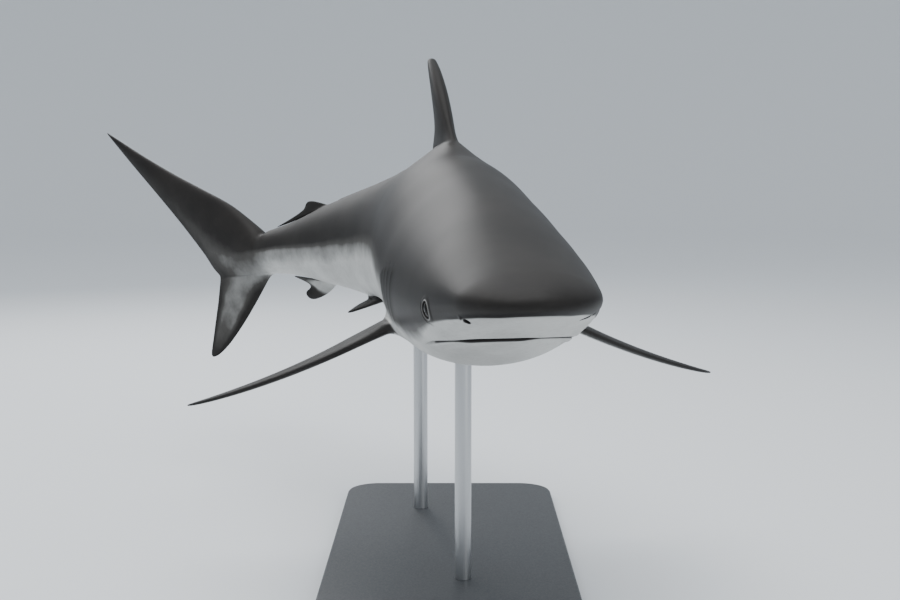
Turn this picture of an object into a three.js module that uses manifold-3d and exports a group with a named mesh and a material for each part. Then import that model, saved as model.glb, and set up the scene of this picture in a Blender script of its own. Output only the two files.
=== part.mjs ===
// A silky shark at life size, held in a turning swim on a plain display stand.
// Units are millimetres, +Z is up. The shark faces -Y and its tail bends to -X.
// The origin is the middle of the underside of the stand's base.

import * as THREE from 'three';
import { mergeVertices } from 'three/addons/utils/BufferGeometryUtils.js';
import Module from 'manifold-3d';

const wasm = await Module();
wasm.setup();

// ---------------------------------------------------------------- sizes

const TOTAL_LENGTH = 2200;
const PERCENT = TOTAL_LENGTH / 100;
const GAP = 0.3;
const GAP_PERCENT = GAP / PERCENT;

// The fish is described straight, in percent of its total length:
// "at" runs back from the snout, "side" is to its left, "up" is above its axis.

// The axis of the body: its heading and dip at the snout, and each smooth bend.
const HEADING = 7;
const ROLL = 0.9;
const TURNS = [
  { degrees: 1, from: 14, to: 40 },
  { degrees: 31, from: 36, to: 62 },
  { degrees: 14.6, from: 58, to: 80 },
];
const DIPS = [
  { degrees: -1.4, from: 14, to: 45 },
  { degrees: -7.7, from: 45, to: 78 },
];

// Cross sections of the body. slope narrows the back, full widens the belly.
const STATIONS = [
  { at: 0, half: 3.2, back: 0.95, belly: -0.9, widest: 0, slope: 0.07, full: 0.13 },
  { at: 2, half: 3.55, back: 1.25, belly: -1.1, widest: -0.05, slope: 0.07, full: 0.18 },
  { at: 4.3, half: 4.1, back: 1.85, belly: -1.6, widest: -0.27, slope: 0.07, full: 0.27 },
  { at: 8.6, half: 4.9, back: 3.0, belly: -3.2, widest: -0.76, slope: 0.06, full: 0.27 },
  { at: 12, half: 5.35, back: 3.9, belly: -4.4, widest: -1.05, slope: 0.11, full: 0.16 },
  { at: 17, half: 5.85, back: 5.1, belly: -5.7, widest: -0.97, slope: 0.25, full: 0.15 },
  { at: 22, half: 6.1, back: 6.1, belly: -6.2, widest: -0.66, slope: 0.26, full: 0.15 },
  { at: 28, half: 6.1, back: 7.1, belly: -6.3, widest: -0.28, slope: 0.16, full: 0.11 },
  { at: 35, half: 5.85, back: 7.6, belly: -6.3, widest: 0, slope: 0.11, full: 0 },
  { at: 42, half: 5.45, back: 7.3, belly: -6.1, widest: 0, slope: 0.1, full: 0 },
  { at: 50, half: 4.75, back: 6.2, belly: -5.5, widest: 0, slope: 0.1, full: 0 },
  { at: 57, half: 3.9, back: 5.0, belly: -4.5, widest: 0, slope: 0.1, full: 0 },
  { at: 63.5, half: 3.0, back: 3.85, belly: -3.45, widest: 0, slope: 0.1, full: 0 },
  { at: 69, half: 2.2, back: 2.75, belly: -2.4, widest: 0, slope: 0.1, full: 0 },
  { at: 73.6, half: 1.6, back: 2.2, belly: -1.85, widest: 0, slope: 0.1, full: 0 },
];
const NOSE_LENGTH = 3.2;
// The back rises to the first dorsal fin's foot in a soft saddle.
const SADDLE = { from: 29.5, full: 35.5, fade: 39.5, to: 43.5, height: 0.75, half: 1.4 };

// Where one named length of the body ends and the next begins.
const HEAD_END = 16;
const GILLS_END = 24.3;
const TRUNK_MIDDLE = 40;
const TRUNK_END = 57;
const STOCK_END = 73.6;

// The mouth is an arch seen from below, from one corner over the front to the other.
const MOUTH_FRONT = 7.05;
const MOUTH_CORNER = 13;
const MOUTH_HALF_WIDTH = 4.12;
const MOUTH_ARCH_POWER = 2.4;
const MOUTH_OPEN = 3.2 / PERCENT;
const JAW_BACK = 15.3;
const JAW_TOP = -1.7;
const UNDER_CHIN = -10;
const ARCH_STEPS = 7;

// Each eye looks out along its cheek's slope: turned a little forward and tipped down.
const EYE = { at: 8.12, side: 4.09, up: -0.9, radius: 0.78, length: 1.2, height: 1.04, turn: 10, tip: 7.5 };
const EYE_MARGIN = 0.22;
const NOSTRIL = { at: 3.95, side: 3.08, up: -1.2, length: 0.8, width: 0.28, depth: 0.42, turn: -18 };
const GILL_SLITS = [
  { at: 18.3, low: -3.3, high: 0.5 },
  { at: 19.7, low: -3.4, high: 0.5 },
  { at: 21.0, low: -3.4, high: 0.4 },
  { at: 22.2, low: -3.1, high: 0.2 },
  { at: 23.2, low: -2.6, high: -0.1 },
];
const GILL_WIDTH = 0.1;
const GILL_DEPTH = 0.4;
const GILL_LEAN = 0.45;

// Each fin is a row of ribs from its root to its tip: front and rear edge, half thickness.
const FIRST_DORSAL = [
  { front: [34.0, 7.35], rear: [42.6, 6.95], thick: 0.68 },
  { front: [35.3, 8.9], rear: [45.2, 7.2], thick: 0.64 },
  { front: [36.7, 10.5], rear: [42.2, 8.7], thick: 0.63 },
  { front: [38.4, 12.3], rear: [42.0, 10.8], thick: 0.6 },
  { front: [40.3, 13.9], rear: [42.9, 12.9], thick: 0.5 },
  { front: [41.9, 14.9], rear: [43.7, 14.3], thick: 0.38 },
  { front: [42.9, 15.3], rear: [43.6, 15.1], thick: 0.22 },
];
const SECOND_DORSAL = [
  { front: [62.6, 3.7], rear: [65.9, 3.1], thick: 0.3 },
  { front: [63.9, 4.1], rear: [71.6, 2.45], thick: 0.2 },
  { front: [65.1, 4.4], rear: [67.6, 3.55], thick: 0.16 },
  { front: [66.1, 4.6], rear: [66.8, 4.3], thick: 0.08 },
];
const ANAL = [
  { front: [62.6, -3.35], rear: [66.2, -2.8], thick: 0.3 },
  { front: [63.7, -4.05], rear: [69.8, -2.45], thick: 0.2 },
  { front: [64.9, -4.55], rear: [67.0, -3.5], thick: 0.17 },
  { front: [66.2, -4.85], rear: [67.9, -4.0], thick: 0.12 },
  { front: [67.3, -4.95], rear: [68.2, -4.4], thick: 0.06 },
];
const LOWER_LOBE = [
  { front: [72.5, -1.4], rear: [80.3, -0.9], thick: 0.62 },
  { front: [74.2, -3.0], rear: [80.9, -2.6], thick: 0.46 },
  { front: [76.1, -4.8], rear: [81.5, -4.3], thick: 0.36 },
  { front: [78.3, -6.75], rear: [82.3, -6.2], thick: 0.27 },
  { front: [80.6, -8.55], rear: [83.0, -8.0], thick: 0.17 },
  { front: [82.2, -9.45], rear: [83.5, -9.2], thick: 0.1 },
  { front: [83.1, -9.75], rear: [83.5, -9.7], thick: 0.05 },
];
// The paired fins' ribs are given along the body and outwards along the fin.
const PECTORAL = [
  { front: [21.6, 0], rear: [27.2, 0], thick: 0.5 },
  { front: [22.8, 1.9], rear: [30.8, 2.4], thick: 0.36 },
  { front: [24.8, 4.9], rear: [31.0, 4.8], thick: 0.3 },
  { front: [27.2, 8.3], rear: [31.6, 8.2], thick: 0.25 },
  { front: [29.6, 11.6], rear: [32.5, 11.5], thick: 0.19 },
  { front: [31.5, 13.9], rear: [33.1, 13.7], thick: 0.12 },
  { front: [33.0, 15.2], rear: [33.4, 15.1], thick: 0.05 },
];
const PELVIC = [
  { front: [49.0, 0], rear: [53.2, 0], thick: 0.34 },
  { front: [50.4, 1.1], rear: [53.9, 0.95], thick: 0.2 },
  { front: [51.9, 1.9], rear: [53.8, 1.75], thick: 0.14 },
  { front: [53.1, 2.45], rear: [53.6, 2.4], thick: 0.07 },
];
// How each paired fin leaves the body: the root's place and its droop at root and tip.
const PECTORAL_LEFT = { side: 5.6, up: -3.6, droop: [28, 16], pitch: -1 };
const PECTORAL_RIGHT = { side: 5.6, up: -3.85, droop: [30, 15.5], pitch: -4 };
const PELVIC_EITHER = { side: 2.3, up: -4.45, droop: [28, 24], pitch: -4 };
const PAIRED = [
  { name: 'pectoral_fin_left', ribs: PECTORAL, hand: 1, ...PECTORAL_LEFT },
  { name: 'pectoral_fin_right', ribs: PECTORAL, hand: -1, ...PECTORAL_RIGHT },
  { name: 'pelvic_fin_left', ribs: PELVIC, hand: 1, ...PELVIC_EITHER },
  { name: 'pelvic_fin_right', ribs: PELVIC, hand: -1, ...PELVIC_EITHER },
];
// The first dorsal fin is stiff: it keeps the direction of one place on the body.
const STIFF = { at: 39, turn: 0.5, side: 0.3, lean: -0.033, above: 7.5 };
// The upper lobe carries the body's axis on, from the tail stock to the tip.
const UPPER_LOBE = [
  { front: [73.6, 2.2], rear: [73.6, -1.85], thick: 1.6, round: 1 },
  { front: [75.5, 3.9], rear: [77.0, -1.9], thick: 1.3, round: 0.85 },
  { front: [78.0, 5.8], rear: [80.55, -1.4], thick: 0.95, round: 0.45 },
  { front: [81.4, 7.7], rear: [82.5, 1.1], thick: 0.75, round: 0.15 },
  { front: [85.5, 9.95], rear: [85.35, 4.65], thick: 0.56, round: 0 },
  { front: [89.5, 12.35], rear: [88.65, 8.45], thick: 0.4, round: 0 },
  { front: [92.7, 14.4], rear: [91.9, 12.1], thick: 0.24, round: 0 },
  { front: [95.1, 15.95], rear: [94.9, 15.6], thick: 0.07, round: 0 },
];
const ROOT_FLARE = 0.75;
const ROOT_FLARE_REACH = 0.1;
const ROOT_DEPTH = 1.1;
const FIN_EDGE = 0.35 / PERCENT;

// How finely each form is cut into facets. The spacings are in percent.
const BODY_SIDES = 28;
const FIN_SIDES = 16;
const LOBE_SIDES = 20;
const FIN_STEPS = 2;
const SMALL_FIN_STEPS = 3;
const SNOUT_RINGS = [0.004, 0.05, 0.22, 0.55, 1.05, 1.7, 2.4, 3.2];
const HEAD_RINGS = [4.2, 5.3, 6.4, 7.6, 8.8, 10, 11.3, 12.6, 14.2];
const GILL_RING_SPACING = 1.4;
const TRUNK_RING_SPACING = 1.9;
const RING_MARGIN = 0.25;
const MERGE_DISTANCE = 1e-4;

// The stand.
const BASE = { width: 400, length: 860, thick: 16, corner: 60, bevel: 2.5, under: 35.4 };
const ROD = { radius: 13, front: 28, rear: 47, sides: 24 };
const BELLY_HEIGHT = 360;

// ---------------------------------------------------------------- the body's axis

const AXIS_STEP = 0.25;
const AXIS_END = 104;
const toRadians = THREE.MathUtils.degToRad;

function bentBy(bends, at) {
  let total = 0;
  for (const bend of bends) {
    total += bend.degrees * THREE.MathUtils.smoothstep(at, bend.from, bend.to);
  }
  return toRadians(total);
}

function axisDirection(at) {
  const heading = toRadians(HEADING) + bentBy(TURNS, at);
  const dip = bentBy(DIPS, at);
  const flat = Math.cos(dip);
  return new THREE.Vector3(-Math.sin(heading) * flat, Math.cos(heading) * flat, Math.sin(dip));
}

// Points of the axis, in percent, found by adding up short steps from the snout.
const axisPoints = [new THREE.Vector3()];
for (let at = 0; at < AXIS_END; at += AXIS_STEP) {
  const step = axisDirection(at).add(axisDirection(at + AXIS_STEP)).multiplyScalar(AXIS_STEP / 2);
  axisPoints.push(axisPoints[axisPoints.length - 1].clone().add(step));
}

function axisPoint(at) {
  const place = Math.max(0, at) / AXIS_STEP;
  const index = Math.min(Math.floor(place), axisPoints.length - 2);
  const point = axisPoints[index].clone().lerp(axisPoints[index + 1], place - index);
  return point.addScaledVector(axisDirection(0), Math.min(0, at));
}

// ---------------------------------------------------------------- the body's surface

// A smooth curve through the stations' values that never overshoots them.
function throughStations(key) {
  const count = STATIONS.length;
  const gap = (i) => STATIONS[i + 1].at - STATIONS[i].at;
  const rise = (i) => (STATIONS[i + 1][key] - STATIONS[i][key]) / gap(i);
  const slopes = STATIONS.map((_, i) => {
    if (i === 0) return rise(0);
    if (i === count - 1) return rise(count - 2);
    if (rise(i - 1) * rise(i) <= 0) return 0;
    const before = 2 * gap(i) + gap(i - 1);
    const after = gap(i) + 2 * gap(i - 1);
    return (before + after) / (before / rise(i - 1) + after / rise(i));
  });
  return (at) => {
    let i = 0;
    while (i < count - 2 && at > STATIONS[i + 1].at) i += 1;
    const t = (at - STATIONS[i].at) / gap(i);
    const u = 1 - t;
    return (1 + 2 * t) * u * u * STATIONS[i][key] + t * u * u * gap(i) * slopes[i]
      + t * t * (3 - 2 * t) * STATIONS[i + 1][key] - t * t * u * gap(i) * slopes[i + 1];
  };
}

const CURVES = {};
for (const key of ['half', 'back', 'belly', 'widest', 'slope', 'full']) {
  CURVES[key] = throughStations(key);
}

function section(at) {
  const shape = {};
  for (const key in CURVES) shape[key] = CURVES[key](at);
  const toTip = Math.min(1, Math.max(0, (NOSE_LENGTH - at) / NOSE_LENGTH));
  const nose = Math.sqrt(1 - toTip * toTip);
  shape.half *= nose;
  shape.back = shape.widest + (shape.back - shape.widest) * nose;
  shape.belly = shape.widest + (shape.belly - shape.widest) * nose;
  return shape;
}

function saddleHeight(at, side) {
  const risen = THREE.MathUtils.smoothstep(at, SADDLE.from, SADDLE.full);
  const fallen = THREE.MathUtils.smoothstep(at, SADDLE.fade, SADDLE.to);
  return SADDLE.height * (risen - fallen) * Math.exp(-((side / SADDLE.half) ** 2));
}

// One ring of the body, in percent, from the top down the left flank and up the right.
function bodyRing(at, grow = 0) {
  const shape = section(at);
  const ring = [];
  for (let i = 0; i < BODY_SIDES; i += 1) {
    const angle = (i / BODY_SIDES) * 2 * Math.PI;
    const c = Math.cos(angle);
    const squeeze = c > 0 ? 1 - shape.slope * c * c : 1 + shape.full * c * c;
    const height = (c > 0 ? shape.back - shape.widest : shape.widest - shape.belly) + grow;
    const side = (shape.half + grow) * Math.sin(angle) * squeeze;
    const lift = c > 0 ? saddleHeight(at, side) : 0;
    ring.push([at, side, shape.widest + height * c + lift]);
  }
  return ring;
}

// ---------------------------------------------------------------- the turning fish

const aboveBase = axisPoint(BASE.under);

// The axis and the directions along, left of and above it at one station, in the turning fish.
function frameAt(at) {
  const along = axisDirection(at);
  const heading = toRadians(HEADING) + bentBy(TURNS, at);
  const level = new THREE.Vector3(Math.cos(heading), Math.sin(heading), 0);
  const left = level.clone().applyAxisAngle(along, -toRadians(ROLL));
  const above = left.clone().cross(along);
  const origin = axisPoint(at).sub(aboveBase).multiplyScalar(PERCENT);
  origin.z += BASE.thick + BELLY_HEIGHT - section(BASE.under).belly * PERCENT;
  return { origin, along, left, above };
}

function fromFrame(frame, along, side, up) {
  const point = frame.origin.clone();
  point.addScaledVector(frame.along, along * PERCENT);
  point.addScaledVector(frame.left, side * PERCENT);
  point.addScaledVector(frame.above, up * PERCENT);
  return point;
}

// A point of the straight fish, in percent, carried to its place in the turning fish.
function place(at, side, up) {
  return fromFrame(frameAt(at), 0, side, up);
}

// The same for a point of a stiff fin, which doesn't bend with the body.
const stiffFrame = frameAt(STIFF.at);
for (const direction of [stiffFrame.along, stiffFrame.left]) {
  direction.applyAxisAngle(stiffFrame.above, toRadians(STIFF.turn));
}

function placeStiff(at, side, up) {
  const aside = STIFF.side + STIFF.lean * (up - STIFF.above);
  return fromFrame(stiffFrame, at - STIFF.at, side + aside, up);
}

// ---------------------------------------------------------------- meshes and solids

function carried(ring, carry = place) {
  return ring.map(([at, side, up]) => carry(at, side, up));
}

// A closed tube of triangles through rings of points, with a flat or pointed end.
function loft(rings) {
  const sides = rings[0].length;
  const points = rings.flat();
  const faces = [];
  for (let r = 0; r < rings.length - 1; r += 1) {
    for (let i = 0; i < sides; i += 1) {
      const next = (i + 1) % sides;
      const a = r * sides + i;
      const b = r * sides + next;
      faces.push(a, a + sides, b + sides, a, b + sides, b);
    }
  }
  const middle = (ring) => ring.reduce((sum, p) => sum.add(p), new THREE.Vector3()).divideScalar(sides);
  const first = points.push(middle(rings[0])) - 1;
  const last = points.push(middle(rings[rings.length - 1])) - 1;
  const start = (rings.length - 1) * sides;
  for (let i = 0; i < sides; i += 1) {
    const next = (i + 1) % sides;
    faces.push(first, i, next);
    faces.push(last, start + next, start + i);
  }
  const geometry = new THREE.BufferGeometry().setFromPoints(points);
  geometry.setIndex(faces);
  return geometry;
}

function solidFrom(geometry) {
  const bare = geometry.clone();
  bare.deleteAttribute('normal');
  bare.deleteAttribute('uv');
  const merged = mergeVertices(bare, MERGE_DISTANCE);
  const vertProperties = new Float32Array(merged.attributes.position.array);
  const triVerts = new Uint32Array(merged.index.array);
  const solid = new wasm.Manifold(new wasm.Mesh({ numProp: 3, vertProperties, triVerts }));
  if (solid.volume() > 0) return solid;
  const turned = triVerts.slice();
  for (let i = 0; i < turned.length; i += 3) {
    [turned[i + 1], turned[i + 2]] = [triVerts[i + 2], triVerts[i + 1]];
  }
  return new wasm.Manifold(new wasm.Mesh({ numProp: 3, vertProperties, triVerts: turned }));
}

// The biggest piece of a solid: a cut can leave slivers of no thickness behind.
function largestPiece(solid) {
  const pieces = solid.decompose();
  return pieces.reduce((best, piece) => (piece.volume() > best.volume() ? piece : best));
}

function geometryFrom(solid) {
  const mesh = largestPiece(solid).getMesh();
  const geometry = new THREE.BufferGeometry();
  geometry.setAttribute('position', new THREE.BufferAttribute(mesh.vertProperties, 3));
  geometry.setIndex(new THREE.BufferAttribute(mesh.triVerts, 1));
  geometry.computeVertexNormals();
  return geometry;
}

// Stations of the body's rings, closer together where the shape changes faster.
const RINGS = [...SNOUT_RINGS, ...HEAD_RINGS];
for (let at = HEAD_END; at < GILLS_END - 1; at += GILL_RING_SPACING) RINGS.push(at);
for (let at = GILLS_END; at < STOCK_END - 1; at += TRUNK_RING_SPACING) RINGS.push(at);
RINGS.push(TRUNK_MIDDLE);
RINGS.sort((one, other) => one - other);

function bodyLength(from, to, grow = 0) {
  const inside = RINGS.filter((at) => at > from + RING_MARGIN && at < to - RING_MARGIN);
  return solidFrom(loft([from, ...inside, to].map((at) => carried(bodyRing(at, grow)))));
}

// A plain block of the straight fish, given by its middle and size in percent.
function block(middle, size, lean = 0) {
  const geometry = new THREE.BoxGeometry(...size);
  geometry.applyMatrix4(new THREE.Matrix4().makeShear(0, 0, 0, 0, lean, 0));
  geometry.translate(...middle);
  return placedSolid(geometry);
}

// A geometry modelled in the straight fish's percents, carried into place.
function placedSolid(geometry) {
  const position = geometry.attributes.position;
  for (let i = 0; i < position.count; i += 1) {
    const point = place(position.getX(i), position.getY(i), position.getZ(i));
    position.setXYZ(i, point.x, point.y, point.z);
  }
  return solidFrom(geometry);
}

// ---------------------------------------------------------------- the head

function eyeball(hand, grow = 0) {
  const ball = new THREE.SphereGeometry(1, 16, 10);
  ball.rotateX(Math.PI / 2);
  ball.scale(EYE.length / 2 + EYE_MARGIN + grow, EYE.radius + grow, EYE.height / 2 + EYE_MARGIN + grow);
  ball.rotateX(-hand * toRadians(EYE.tip));
  ball.rotateZ(hand * toRadians(EYE.turn));
  ball.translate(EYE.at, hand * EYE.side, EYE.up);
  return placedSolid(ball);
}

function nostril(hand) {
  const slot = new THREE.SphereGeometry(1, 10, 6);
  slot.scale(NOSTRIL.length / 2, NOSTRIL.width / 2, NOSTRIL.depth);
  slot.rotateZ(hand * toRadians(NOSTRIL.turn));
  slot.translate(NOSTRIL.at, hand * NOSTRIL.side, NOSTRIL.up);
  return placedSolid(slot);
}

// The block of flesh under the mouth's arch; grow widens it, open draws its front forward.
function jawBlock(grow, open) {
  const half = MOUTH_HALF_WIDTH + grow;
  const reach = MOUTH_CORNER - MOUTH_FRONT + open;
  const outline = [];
  for (let i = -ARCH_STEPS; i <= ARCH_STEPS; i += 1) {
    const angle = (i / ARCH_STEPS) * (Math.PI / 2);
    const out = Math.sign(i) * Math.abs(Math.sin(angle)) ** (2 / MOUTH_ARCH_POWER);
    const forward = Math.cos(angle) ** (2 / MOUTH_ARCH_POWER);
    outline.push(new THREE.Vector2(MOUTH_CORNER - reach * forward, half * out));
  }
  outline.push(new THREE.Vector2(JAW_BACK + grow, half));
  outline.push(new THREE.Vector2(JAW_BACK + grow, -half));
  const depth = JAW_TOP + grow - UNDER_CHIN;
  const prism = new THREE.ExtrudeGeometry(new THREE.Shape(outline), { depth, bevelEnabled: false });
  prism.translate(0, 0, UNDER_CHIN);
  return placedSolid(prism);
}

function headSolids() {
  const whole = bodyLength(RINGS[0], HEAD_END - GAP_PERCENT / 2);
  let head = whole.subtract(jawBlock(GAP_PERCENT, MOUTH_OPEN));
  for (const hand of [1, -1]) {
    head = head.subtract(eyeball(hand, GAP_PERCENT)).subtract(nostril(hand));
  }
  return { head, jaw: whole.intersect(jawBlock(0, 0)) };
}

function gillRegion() {
  let region = bodyLength(HEAD_END + GAP_PERCENT / 2, GILLS_END - GAP_PERCENT / 2);
  for (const slit of GILL_SLITS) {
    for (const hand of [1, -1]) {
      const middle = [slit.at, hand * section(slit.at).half, (slit.low + slit.high) / 2];
      const size = [GILL_WIDTH, 2 * GILL_DEPTH, slit.high - slit.low];
      region = region.subtract(block(middle, size, -GILL_LEAN / 2));
    }
  }
  return region;
}

// ---------------------------------------------------------------- the fins

// How thick a fin is across its chord, 1 being the most: a wing section, round in front.
function wingProfile(c) {
  return 2.969 * Math.sqrt(c) - 1.26 * c - 3.516 * c ** 2 + 2.843 * c ** 3 - 1.036 * c ** 4;
}

function between(ribs, key, t) {
  const points = ribs.map((rib) => new THREE.Vector2(...rib[key]));
  return new THREE.SplineCurve(points).getPoint(t);
}

function numberBetween(ribs, key, t) {
  const spot = t * (ribs.length - 1);
  const i = Math.min(Math.floor(spot), ribs.length - 2);
  return THREE.MathUtils.lerp(ribs[i][key], ribs[i + 1][key], spot - i);
}

// A fin in the fish's middle plane. It starts inside the body, which is then cut from it.
function middleFin(ribs, stepsPerRib, inwards, carry) {
  const rings = [];
  const steps = (ribs.length - 1) * stepsPerRib;
  for (let k = -1; k <= steps; k += 1) {
    const t = Math.max(0, k) / steps;
    const front = between(ribs, 'front', t);
    const rear = between(ribs, 'rear', t);
    const flare = 1 + ROOT_FLARE * Math.exp(-t / ROOT_FLARE_REACH);
    const thick = numberBetween(ribs, 'thick', t) * flare;
    const sink = k < 0 ? inwards * ROOT_DEPTH : 0;
    const ring = [];
    for (let i = 0; i < FIN_SIDES; i += 1) {
      const angle = ((i + 0.5) / FIN_SIDES) * 2 * Math.PI;
      const c = (1 - Math.cos(angle)) / 2;
      const half = thick * wingProfile(c) + FIN_EDGE;
      const at = THREE.MathUtils.lerp(front.x, rear.x, c);
      const up = THREE.MathUtils.lerp(front.y, rear.y, c) - sink;
      ring.push([at, Math.sign(Math.sin(angle)) * half, up]);
    }
    rings.push(carried(ring, carry));
  }
  return solidFrom(loft(rings));
}

// A paired fin: its span bends down from the body by the droop, from root to tip.
function pairedFin(fin) {
  const { ribs, hand } = fin;
  const span = ribs[ribs.length - 1].front[1];
  const droopAt = (v) => toRadians(THREE.MathUtils.lerp(...fin.droop, v / span));
  const outAndDown = (v) => {
    const middle = droopAt(v / 2);
    return [v * Math.cos(middle), v * Math.sin(middle)];
  };
  const hinge = (ribs[0].front[0] + ribs[0].rear[0]) / 2;
  const climb = Math.tan(toRadians(fin.pitch));
  const rings = [];
  const steps = (ribs.length - 1) * FIN_STEPS;
  for (let k = -1; k <= steps; k += 1) {
    const t = Math.max(0, k) / steps;
    const front = between(ribs, 'front', t);
    const rear = between(ribs, 'rear', t);
    const flare = 1 + ROOT_FLARE * Math.exp(-t / ROOT_FLARE_REACH);
    const thick = numberBetween(ribs, 'thick', t) * flare;
    const ring = [];
    for (let i = 0; i < FIN_SIDES; i += 1) {
      const angle = ((i + 0.5) / FIN_SIDES) * 2 * Math.PI;
      const c = (1 - Math.cos(angle)) / 2;
      const at = THREE.MathUtils.lerp(front.x, rear.x, c);
      const v = THREE.MathUtils.lerp(front.y, rear.y, c) - (k < 0 ? ROOT_DEPTH : 0);
      const [out, down] = outAndDown(v);
      const droop = droopAt(v);
      const half = Math.sign(Math.sin(angle)) * (thick * wingProfile(c) + FIN_EDGE);
      const side = fin.side + out + half * Math.sin(droop);
      const up = fin.up - down + half * Math.cos(droop) + (at - hinge) * climb;
      ring.push([at, hand * side, up]);
    }
    rings.push(carried(ring));
  }
  return solidFrom(loft(rings));
}

// The upper lobe: oval like the tail stock at first, then thin like a fin.
function upperLobe(grow = 0) {
  const steps = (UPPER_LOBE.length - 1) * FIN_STEPS;
  const rings = [];
  for (let k = 0; k <= steps; k += 1) {
    const t = k / steps;
    const front = between(UPPER_LOBE, 'front', t);
    const rear = between(UPPER_LOBE, 'rear', t);
    const thick = numberBetween(UPPER_LOBE, 'thick', t);
    const round = numberBetween(UPPER_LOBE, 'round', t);
    const ring = [];
    for (let i = 0; i < LOBE_SIDES; i += 1) {
      const angle = ((i + 0.5) / LOBE_SIDES) * 2 * Math.PI;
      const c = (1 - Math.cos(angle)) / 2;
      const sine = Math.sin(angle);
      const oval = Math.abs(sine);
      const half = THREE.MathUtils.lerp(wingProfile(c), oval, round) * thick + FIN_EDGE + grow;
      const at = THREE.MathUtils.lerp(front.x, rear.x, c);
      ring.push([at, Math.sign(sine) * half, THREE.MathUtils.lerp(front.y, rear.y, c)]);
    }
    rings.push(carried(ring));
  }
  return solidFrom(loft(rings));
}

// ---------------------------------------------------------------- the stand

function standBase() {
  const { width, length, thick, corner, bevel } = BASE;
  const x = width / 2 - bevel;
  const y = length / 2 - bevel;
  const r = corner - bevel;
  const outline = new THREE.Shape();
  outline.absarc(x - r, y - r, r, 0, Math.PI / 2);
  outline.absarc(r - x, y - r, r, Math.PI / 2, Math.PI);
  outline.absarc(r - x, r - y, r, Math.PI, 1.5 * Math.PI);
  outline.absarc(x - r, r - y, r, 1.5 * Math.PI, 2 * Math.PI);
  const geometry = new THREE.ExtrudeGeometry(outline, {
    depth: thick - 2 * bevel, bevelThickness: bevel, bevelSize: bevel, bevelSegments: 1, curveSegments: 5,
  });
  geometry.translate(0, 0, bevel);
  return solidFrom(geometry);
}

// A rod from the base's top up into the belly above the given station.
function standRod(at, belly) {
  const top = place(at, 0, 0);
  const bottom = BASE.thick + GAP;
  const rod = new THREE.CylinderGeometry(ROD.radius, ROD.radius, top.z - bottom, ROD.sides);
  rod.rotateX(Math.PI / 2);
  rod.translate(top.x, top.y, (top.z + bottom) / 2);
  return solidFrom(rod).subtract(belly);
}

// ---------------------------------------------------------------- the whole model

const shark = new THREE.Group();
shark.name = 'silky_shark_on_stand';

const FINISHES = {
  skin: { color: 0x5b5654, roughness: 0.5, metalness: 0 },
  fin: { color: 0x4d4947, roughness: 0.5, metalness: 0 },
  eye: { color: 0x101214, roughness: 0.12, metalness: 0 },
  base: { color: 0x33363a, roughness: 0.5, metalness: 0 },
  rod: { color: 0x9a9da1, roughness: 0.35, metalness: 1 },
};

function add(name, solid, finish) {
  const mesh = new THREE.Mesh(geometryFrom(solid), new THREE.MeshStandardMaterial(FINISHES[finish]));
  mesh.name = name;
  shark.add(mesh);
}

const { head, jaw } = headSolids();
add('head', head, 'skin');
add('lower_jaw', jaw, 'skin');
add('gill_region', gillRegion(), 'skin');
add('trunk_front', bodyLength(GILLS_END + GAP_PERCENT / 2, TRUNK_MIDDLE - GAP_PERCENT / 2), 'skin');
add('trunk_rear', bodyLength(TRUNK_MIDDLE + GAP_PERCENT / 2, TRUNK_END - GAP_PERCENT / 2), 'skin');
add('tail_stock', bodyLength(TRUNK_END + GAP_PERCENT / 2, STOCK_END - GAP_PERCENT / 2), 'skin');

const grownBody = bodyLength(RINGS[0], STOCK_END, GAP_PERCENT);
const grownLobe = upperLobe(GAP_PERCENT);
add('caudal_fin_upper_lobe', upperLobe(), 'fin');
const lowerLobe = middleFin(LOWER_LOBE, FIN_STEPS, -1).subtract(grownLobe).subtract(grownBody);
add('caudal_fin_lower_lobe', lowerLobe, 'fin');
add('first_dorsal_fin', middleFin(FIRST_DORSAL, FIN_STEPS, 1, placeStiff).subtract(grownBody), 'fin');
add('second_dorsal_fin', middleFin(SECOND_DORSAL, SMALL_FIN_STEPS, 1).subtract(grownBody), 'fin');
add('anal_fin', middleFin(ANAL, FIN_STEPS, -1).subtract(grownBody), 'fin');
for (const fin of PAIRED) add(fin.name, pairedFin(fin).subtract(grownBody), 'fin');
add('eye_left', eyeball(1), 'eye');
add('eye_right', eyeball(-1), 'eye');

add('stand_base', standBase(), 'base');
add('stand_rod_front', standRod(ROD.front, grownBody), 'rod');
add('stand_rod_rear', standRod(ROD.rear, grownBody), 'rod');

export default shark;
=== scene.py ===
"""A silky shark on its display stand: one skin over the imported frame's flesh, with its own eyes."""

import math

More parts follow.
